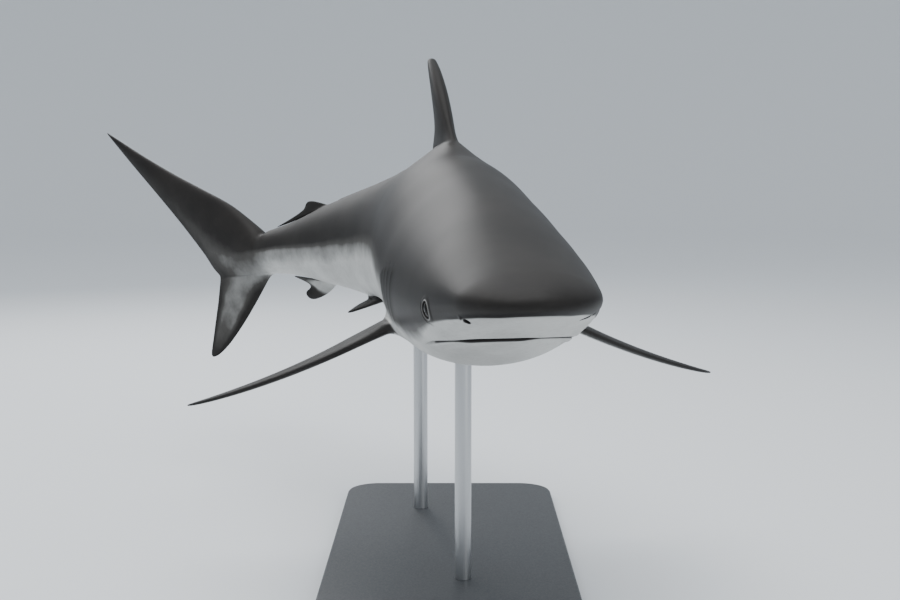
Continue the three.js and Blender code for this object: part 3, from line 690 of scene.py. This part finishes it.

# ---------------------------------------------------------------- the head's features

# The mouth: a slit along the arch, a little open in front, with a full upper lip; shade is painted inside the
# slit and on a band along it.
behind = mouth_distance(at, outer)
mouth_zone = on_body * smooth(-1.3, -1.9, up) * (at < 16)
mouth_end = 1 - smooth(MOUTH_CORNER - 2.0, MOUTH_CORNER - 0.8, at)
parted = smooth(-3.3, -2.2, side) * (1 - smooth(0.2, 1.5, side))
gape = 0.08 + 0.12 * parted
slit = np.exp(-((behind / gape) ** 4)) * mouth_zone * mouth_end
push -= (0.3 + 0.2 * parted) * slit
shift[:, 2] += 0.15 * slit
wall = np.where(behind > 0, 1.5 + 0.35 * parted, 1.15)
# Painted shade inside the mouth and along its edge.
painted_shade = np.maximum(painted_shade, np.exp(-((behind / (gape * wall)) ** 12)) * mouth_zone * mouth_end)
upper_lip = mouth_zone * mouth_end * bump(behind, -gape - 0.14, 0.14)
lower_lip = mouth_zone * mouth_end * bump(behind, gape + 0.2, 0.2)
push += 0.05 * upper_lip + 0.07 * lower_lip
push -= mouth_zone * mouth_end * 0.07 * bump(behind, gape + 0.72, 0.25)
# The fold that runs on from each corner of the mouth, and the short one outside it, with painted shade in it.
fold = bump(at, MOUTH_CORNER - 0.7, 0.8) * bump(outer - 0.12 * (at - MOUTH_CORNER), 4.17, 0.07)
push -= 0.12 * fold * mouth_zone
# Painted shade in the fold.
painted_shade = np.maximum(painted_shade, 0.45 * fold * mouth_zone)

# The nostrils, with painted shade inside them.
turn = math.radians(NOSTRIL["turn"])
for hand in (1, -1):
    x = side * hand - NOSTRIL["side"]
    y = at - NOSTRIL["at"]
    along = y * math.cos(turn) + x * math.sin(turn)
    aside = -y * math.sin(turn) + x * math.cos(turn)
    zone = on_body * smooth(-0.2, -0.6, up)
    reach = (along / (NOSTRIL["length"] / 2)) ** 2 + (aside / (NOSTRIL["width"] / 2)) ** 2
    opening = zone * (1 - smooth(0.6, 1.5, reach))
    push -= 0.36 * opening
    # Painted shade inside the nostril.
    painted_shade = np.maximum(painted_shade, zone * (1 - smooth(1.3, 2.3, reach)))
    push += zone * 0.06 * np.exp(-((along / 0.6) ** 4)) * bump(aside, 0.27, 0.1)

# The eyes' sockets, lids and the soft fold behind them; shade is painted inside the lids' opening and in the
# fold.
lid = np.zeros(count)
x = (at - LIDS["at"]) / (EYE["length"] / 2)
z = (up - LIDS["up"]) / (EYE["height"] / 2)
ring = eye_ring(at, up)
for hand in (1, -1):
    zone = on_body * (side * hand > 2) * (at < 12)
    inside = zone * (1 - smooth(0.84, 0.93, ring))
    push -= inside * (0.3 + 0.35 * (1 - smooth(0, 0.85, ring)))
    push += zone * (0.05 * bump(ring, 0.99, 0.08) + 0.04 * bump(ring, 1.25, 0.22))
    crease = zone * bump(ring, 1.6, 0.14) * smooth(-0.5, 0.4, x) * (1 - smooth(0.1, 0.9, z))
    push -= crease * 0.07
    # Painted shade in the fold behind the eye.
    painted_shade = np.maximum(painted_shade, 0.5 * crease)
    lid = np.maximum(lid, zone * bump(ring, 1.02, 0.07))
    # Painted shade inside the lids' opening.
    painted_shade = np.maximum(painted_shade, zone * (1 - smooth(0.9, 0.97, ring)))

# The gill slits: a deep narrow line each, with painted shade in it, and the flap in front of it a little
# proud.
for slit_at, low, high in GILL_SLITS:
    middle = (low + high) / 2
    reach = np.clip(2 * (up - middle) / (high - low), -1.3, 1.3)
    line = slit_at - (up - middle) * GILL_LEAN / 2 + 0.22 * reach**2
    gap = at - line
    taper = np.sqrt(np.clip(1 - reach**2, 0, 1))
    ends = 1 - smooth(0.75, 1.15, np.abs(reach))
    zone = on_body * ends * (outer > 2)
    width = 0.035 + 0.05 * taper
    push -= zone * (0.1 + 0.2 * taper) * np.exp(-((gap / width) ** 4))
    # Painted shade in the slit.
    painted_shade = np.maximum(painted_shade, 0.85 * zone * np.exp(-((gap / (0.85 * width)) ** 4)))
    push += zone * 0.13 * np.where(gap < 0, np.exp(gap / 0.45), 0) * smooth(0.0, -0.1, gap)
    push -= zone * 0.07 * np.where(gap > 0, np.exp(-gap / 0.3), 0)

# ---------------------------------------------------------------- the body's features

on_top = bump(outer, 0, RIDGE["half"]) * (normal[:, 2] > 0.3)
ridge = along_body(RIDGE, at)
push += on_body * on_top * ridge * RIDGE["height"]
pit = bump(at, PIT["at"], PIT["length"]) * bump(outer, 0, PIT["half"])
push -= on_body * pit * PIT["depth"]
# Painted shade on the floor of the pits.
pit_shade = bump(at, PIT["at"], PIT["shade_length"]) * bump(outer, 0, PIT["shade_half"])
painted_shade = np.maximum(painted_shade, on_body * (normal[:, 2] > 0) * 0.7 * pit_shade)
above = np.maximum(0, up - back_of(at))
saddle = along_body(SADDLE, at) * (up > BACK_ABOVE)
shift[:, 2] += SADDLE["height"] * saddle * np.exp(-above / SADDLE["reach"]) * bump(outer, 0, SADDLE["half"])
foot = along_body(FOOT, at) * (up > BACK_ABOVE) * bump(outer, 0, FOOT["half"])

points = points + normal * push[:, None] + shift
first_dorsal = (at > 33) & (at < 49) & (up > 5) & (outer < 2.5)
world = placed(points, np.maximum(smooth(0, 1, fin) * first_dorsal, foot))
mesh = bpy.data.meshes.new("skin")
mesh.vertices.add(count)
mesh.vertices.foreach_set("co", world.astype(np.float32).ravel())
loops = np.concatenate([quads.ravel(), np.array([v for face in odd for v in face], np.int64)])
lengths = np.concatenate([np.full(len(quads), 4), np.array([len(face) for face in odd], np.int64)])
mesh.loops.add(len(loops))
mesh.loops.foreach_set("vertex_index", loops.astype(np.int32))
mesh.polygons.add(len(lengths))
mesh.polygons.foreach_set("loop_start", (np.cumsum(lengths) - lengths).astype(np.int32))

# ---------------------------------------------------------------- the skin's colouring

# The height of the edge between the dark back and the pale belly, along the fish.
EDGE = np.array([
    # at, up, softness
    (0, -0.5, 0.06), (0.8, -0.6, 0.06), (1.4, -0.7, 0.07), (2.2, -0.76, 0.08), (3.6, -0.96, 0.1),
    (5.1, -1.16, 0.12), (7.1, -1.5, 0.16), (8.4, -1.75, 0.28), (10.8, -2.35, 0.6), (13.3, -3.0, 1.0),
    (16.5, -3.3, 1.3), (21, -2.6, 1.7), (26, -0.6, 1.8), (31, 0.5, 1.6), (38, 0.85, 1.2),
    (46.6, 0.9, 1.0), (54, 0.55, 0.8), (59, 0.3, 0.6), (64.4, 0.3, 0.5), (69, 0.45, 0.45), (75, 0.6, 0.4),
])
edge_up = np.interp(at, EDGE[:, 0], EDGE[:, 1])
edge_soft = np.interp(at, EDGE[:, 0], EDGE[:, 2])
pale = 1 - smooth(-1, 1, (up - edge_up) / edge_soft)
# Behind the gills a grey band lies between the back and the belly: the flank's own grey, made greyer with
# painted shade.
pale *= 1 - 0.42 * smooth(22, 32, at) * (1 - smooth(0.3, 2.8, edge_up - up))
paired = (outer > 1.5) & (at < 60)
lower_side = under * np.sign(side)
paired_pale = smooth(0.3, 0.95, lower_side) * smooth(0.03, 0.12, chord) * (1 - smooth(0.72, 0.97, span))
edges = smooth(0.0, 0.3, chord) * (1 - smooth(0.75, 1.0, chord))
from_root = smooth(0.0, 0.3, span)
lower_lobe = (up < -1.8) & (at > 71)
lower_pale = (1 - from_root) * 0.62 * (1 - 0.6 * smooth(0.55, 1.0, chord))
lower_pale += from_root * 0.5 * edges * (1 - smooth(0.4, 0.95, span))
anal = (up < -1.8) & (at > 60) & (at <= 71)
anal_pale = (1 - smooth(0.3, 0.65, span)) * (1 - 0.6 * smooth(0.35, 0.75, chord))
upper_lobe = (up > -2.2) & (at > 75)
upper_pale = 0.06 * edges + 0.42 * bump(chord, 0.74, 0.2) * (1 - smooth(0.1, 0.8, span))
fin_pale = np.select(
    [paired, lower_lobe, anal, upper_lobe],
    [paired_pale, lower_pale, anal_pale, upper_pale],
    0.06 * edges,
)
# Towards the tail the pale side turns grey: painted shade.
pale = pale * (1 - 0.38 * smooth(70.5, 75, at))
on_fin = smooth(0.25, 0.95, fin)
pale = pale * (1 - on_fin) + fin_pale * on_fin
underside = paired & (lower_side > 0)
tips = smooth(0.6, 1.0, span) * 0.8 + 0.35 * (1 - edges) * from_root
tips = tips * on_fin * np.where(underside, 1.0, 0.8)
rim = bump(up, edge_up + 0.1, 0.1) * (at < 5.2) * on_body


def store(name, values):
    """Keeps a value for each point of the skin, for its material."""
    layer = mesh.attributes.new(name, "FLOAT", "POINT")
    layer.data.foreach_set("value", values.astype(np.float32))


for name, values in (("pale", pale), ("painted_shade", painted_shade), ("tips", tips), ("rim", rim), ("lid", lid)):
    store(name, values)
layer = mesh.attributes.new("body", "FLOAT_VECTOR", "POINT")
layer.data.foreach_set("vector", np.stack([side, at, up], 1).astype(np.float32).ravel())
mesh.polygons.foreach_set("use_smooth", np.ones(len(mesh.polygons), bool))
mesh.update()

# ---------------------------------------------------------------- materials


def new_material(name):
    material = bpy.data.materials.new(name)
    material.use_nodes = True
    nodes = material.node_tree.nodes
    return material, nodes, material.node_tree.links, nodes["Principled BSDF"]


def attribute(nodes, name):
    node = nodes.new("ShaderNodeAttribute")
    node.attribute_name = name
    return node


def feed(links, socket, value):
    """Links value to a socket where it is one itself, and sets the socket where it isn't."""
    if isinstance(value, bpy.types.NodeSocket):
        links.new(value, socket)
    else:
        socket.default_value = value


def mixed(nodes, links, factor, a, b):
    """A mix of two colours; each of factor, a and b is a socket or a value."""
    node = nodes.new("ShaderNodeMix")
    node.data_type = "RGBA"
    for socket, value in ((node.inputs[0], factor), (node.inputs[6], a), (node.inputs[7], b)):
        feed(links, socket, value)
    return node.outputs[2]


def added(nodes, links, a, b):
    """The sum of two numbers; each of them is a socket or a value."""
    node = nodes.new("ShaderNodeMath")
    node.operation = "ADD"
    for socket, value in zip(node.inputs, (a, b)):
        feed(links, socket, value)
    return node.outputs[0]


def ramped(nodes, links, value, stops):
    """The colour that a value has on a ramp; each stop is a position and a colour."""
    node = nodes.new("ShaderNodeValToRGB")
    elements = node.color_ramp.elements
    elements[0].position, elements[0].color = stops[0]
    elements[1].position, elements[1].color = stops[-1]
    for position, shade in stops[1:-1]:
        elements.new(position).color = shade
    links.new(value, node.inputs[0])
    return node.outputs[0]


def mapped(nodes, links, value, from_low, from_high, to_low, to_high):
    """A value carried from one range to another."""
    node = nodes.new("ShaderNodeMapRange")
    for k, number in enumerate((from_low, from_high, to_low, to_high)):
        node.inputs[k + 1].default_value = number
    links.new(value, node.inputs[0])
    return node.outputs[0]


def noise(nodes, links, vector, scale, detail=4.0):
    """A soft random pattern, about 0.5."""
    node = nodes.new("ShaderNodeTexNoise")
    node.inputs["Scale"].default_value = scale
    node.inputs["Detail"].default_value = detail
    links.new(vector, node.inputs["Vector"])
    return node.outputs[0]


BACK = (0.019, 0.0175, 0.0165, 1)
FLANK = (0.07, 0.067, 0.063, 1)
SIDE = (0.29, 0.29, 0.28, 1)
BELLY = (0.58, 0.58, 0.56, 1)
DUSK = (0.015, 0.014, 0.014, 1)
BROWN_PATCH = (0.055, 0.050, 0.045, 1)
DARK_SPECK = (0.035, 0.032, 0.030, 1)
PALE_LID = (0.27, 0.265, 0.255, 1)
HOLLOW_SHADE = (0.012, 0.010, 0.010, 1)
PUPIL = (0.002, 0.002, 0.002, 1)
PUPIL_RIM = (0.022, 0.020, 0.017, 1)
IRIS = (0.008, 0.008, 0.007, 1)
BASE_PAINT = (0.035, 0.038, 0.042, 1)
STEEL = (0.5, 0.51, 0.52, 1)

skin_material, nodes, links, shader = new_material("shark_skin")
body = attribute(nodes, "body").outputs["Vector"]
wander = mapped(nodes, links, noise(nodes, links, body, 0.7, 5), 0.3, 0.7, -0.06, 0.06)
tone = added(nodes, links, attribute(nodes, "pale").outputs["Fac"], wander)
colour = ramped(nodes, links, tone, [(0.1, BACK), (0.4, FLANK), (0.64, SIDE), (0.85, BELLY)])
patches = mapped(nodes, links, noise(nodes, links, body, 0.28, 4), 0.38, 0.68, 0.0, 0.2)
colour = mixed(nodes, links, patches, colour, BROWN_PATCH)
speckle = mapped(nodes, links, noise(nodes, links, body, 3.0, 6), 0.45, 0.75, 0.0, 0.12)
colour = mixed(nodes, links, speckle, colour, DARK_SPECK)
# Dusky tips and snout rim, pale lids, then the painted shade of the slits, openings and creases.
for name, shade in (("tips", DUSK), ("rim", DUSK), ("lid", PALE_LID), ("painted_shade", HOLLOW_SHADE)):
    colour = mixed(nodes, links, attribute(nodes, name).outputs["Fac"], colour, shade)
links.new(colour, shader.inputs["Base Color"])
shader.inputs["Roughness"].default_value = 0.45
shader.inputs["Specular IOR Level"].default_value = 0.085
grain = nodes.new("ShaderNodeBump")
grain.inputs["Strength"].default_value = 0.15
grain.inputs["Distance"].default_value = 0.0006
links.new(noise(nodes, links, body, 12.0, 3), grain.inputs["Height"])
links.new(grain.outputs[0], shader.inputs["Normal"])

eye_material, nodes, links, shader = new_material("shark_eye")
shader.inputs["Roughness"].default_value = 0.1
shader.inputs["Specular IOR Level"].default_value = 0.05
ray = attribute(nodes, "ray").outputs["Fac"]
colour = ramped(nodes, links, ray, [(0.36, PUPIL), (0.41, PUPIL_RIM), (1.0, IRIS)])
links.new(colour, shader.inputs["Base Color"])

base_material, nodes, links, shader = new_material("stand_paint")
shader.inputs["Base Color"].default_value = BASE_PAINT
grain = noise(nodes, links, nodes.new("ShaderNodeTexCoord").outputs["Object"], 400)
links.new(mapped(nodes, links, grain, 0.3, 0.7, 0.42, 0.55), shader.inputs["Roughness"])

rod_material, nodes, links, shader = new_material("stand_steel")
shader.inputs["Base Color"].default_value = STEEL
shader.inputs["Metallic"].default_value = 1
grain = noise(nodes, links, nodes.new("ShaderNodeTexCoord").outputs["Object"], 300)
links.new(mapped(nodes, links, grain, 0.3, 0.7, 0.33, 0.37), shader.inputs["Roughness"])

# ---------------------------------------------------------------- the pieces

FLESH = [
    "head", "lower_jaw", "gill_region", "trunk_front", "trunk_rear", "tail_stock",
    "caudal_fin_upper_lobe", "caudal_fin_lower_lobe", "first_dorsal_fin", "second_dorsal_fin", "anal_fin",
    "pectoral_fin_left", "pectoral_fin_right", "pelvic_fin_left", "pelvic_fin_right",
]
skin = bpy.data.objects.new("skin", mesh)
bpy.context.scene.collection.objects.link(skin)
mesh.materials.clear()
mesh.materials.append(skin_material)
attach(skin, "root")
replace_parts(skin, *FLESH)


EYEBALL_FACES = (64, 96)  # from front to back and round


def eyeball(name, hand):
    """An eyeball that fills its socket, with how far each point is from the middle of the pupil."""
    across, round_ = EYEBALL_FACES
    lat = np.linspace(0, math.pi, across + 1)[1:-1]
    lon = np.arange(round_) * 2 * math.pi / round_
    grid = np.stack([
        np.cos(lat)[:, None] * np.ones(round_),
        np.sin(lat)[:, None] * np.cos(lon),
        np.sin(lat)[:, None] * np.sin(lon),
    ], -1).reshape(-1, 3)
    shape = np.vstack([grid, [(1, 0, 0), (-1, 0, 0)]])
    spread = np.hypot(shape[:, 1], shape[:, 2])
    radii = (EYE["radius"], EYE["length"] / 2 + EYE_MARGIN, EYE["height"] / 2 + EYE_MARGIN)
    out, back, high = (shape * radii).T
    turn, tip = math.radians(EYE["turn"]), math.radians(EYE["tip"])
    out, high = out * math.cos(tip) + high * math.sin(tip), high * math.cos(tip) - out * math.sin(tip)
    out, back = out * math.cos(turn) + back * math.sin(turn), back * math.cos(turn) - out * math.sin(turn)
    ball = np.stack([hand * (out + EYE["side"]), back + EYE["at"], high + EYE["up"]], 1)
    built = []
    for i in range(across - 2):
        for j in range(round_):
            nxt = (j + 1) % round_
            built.append((i * round_ + j, (i + 1) * round_ + j, (i + 1) * round_ + nxt, i * round_ + nxt))
    last = (across - 2) * round_
    for j in range(round_):
        nxt = (j + 1) % round_
        built.append((len(grid), j, nxt))
        built.append((len(grid) + 1, last + nxt, last + j))
    if hand < 0:
        built = [face[::-1] for face in built]
    made = bpy.data.meshes.new(name)
    made.from_pydata(placed(ball).tolist(), [], built)
    layer = made.attributes.new("ray", "FLOAT", "POINT")
    layer.data.foreach_set("value", np.where(shape[:, 0] > 0, spread, 1).astype(np.float32))
    made.polygons.foreach_set("use_smooth", np.ones(len(made.polygons), bool))
    made.materials.append(eye_material)
    thing = bpy.data.objects.new(name, made)
    bpy.context.scene.collection.objects.link(thing)
    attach(thing, "root")
    return thing


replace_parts(eyeball("eyeball_left", 1), "eye_left")
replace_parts(eyeball("eyeball_right", -1), "eye_right")

for name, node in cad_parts.items():
    if name.startswith("stand_"):
        node.data.materials.clear()
        node.data.materials.append(base_material if name == "stand_base" else rod_material)

# ---------------------------------------------------------------- the studio

FLOOR_WHITE = (0.72, 0.74, 0.76, 1)
DAYLIGHT = (0.72, 0.77, 0.82, 1)
DAYLIGHT_STRENGTH = 1.05

floor_material, nodes, links, shader = new_material("studio_floor")
shader.inputs["Base Color"].default_value = FLOOR_WHITE
shader.inputs["Roughness"].default_value = 0.9
# A wide floor that curves up into a wall all round, so that no horizon shows.
FLOOR_RADIUS, CURVE_RADIUS, WALL_TOP = 9, 4.5, 5
CURVE_STEPS, AROUND = 17, 96
profile = [(0.001, 0), (3, 0), (6, 0)]
for turn in np.linspace(0, math.pi / 2, CURVE_STEPS):
    profile.append((FLOOR_RADIUS + CURVE_RADIUS * math.sin(turn), CURVE_RADIUS * (1 - math.cos(turn))))
profile.append((FLOOR_RADIUS + CURVE_RADIUS, WALL_TOP))
spots = []
for radius, height in profile:
    for k in range(AROUND):
        turn = 2 * math.pi * k / AROUND
        spots.append((radius * math.cos(turn), radius * math.sin(turn), height))
walls = [
    (i * AROUND + k, (i + 1) * AROUND + k, (i + 1) * AROUND + (k + 1) % AROUND, i * AROUND + (k + 1) % AROUND)
    for i in range(len(profile) - 1) for k in range(AROUND)
]
floor = bpy.data.meshes.new("floor")
floor.from_pydata(spots, [], walls)
floor.polygons.foreach_set("use_smooth", np.ones(len(walls), bool))
floor.materials.append(floor_material)
floor = bpy.data.objects.new("floor", floor)
bpy.context.scene.collection.objects.link(floor)
floor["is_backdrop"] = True

world_light = bpy.data.worlds.new("studio")
world_light.use_nodes = True
background = world_light.node_tree.nodes["Background"]
background.inputs[0].default_value = DAYLIGHT
background.inputs[1].default_value = DAYLIGHT_STRENGTH
bpy.context.scene.world = world_light


def softbox(name, place, target, size, power):
    """A broad white light that points from place to target."""
    light = bpy.data.lights.new(name, "AREA")
    light.shape = "RECTANGLE"
    light.size, light.size_y = size
    light.energy = power
    thing = bpy.data.objects.new(name, light)
    thing.location = place
    aim = np.array(target) - np.array(place)
    flat = math.hypot(aim[0], aim[1])
    thing.rotation_euler = (math.atan2(flat, -aim[2]), 0, math.atan2(-aim[0], aim[1]))
    bpy.context.scene.collection.objects.link(thing)


softbox("key", (-0.5, -0.1, 3.6), (-0.05, 0.0, 0.45), (3.2, 3.2), 120)
softbox("fill", (2.4, -2.8, 1.3), (0, 0, 0.45), (2, 2), 25)
softbox("rim_light", (-1.5, 3.0, 2.4), (-0.2, 0.2, 0.5), (2, 1.5), 50)

low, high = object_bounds()
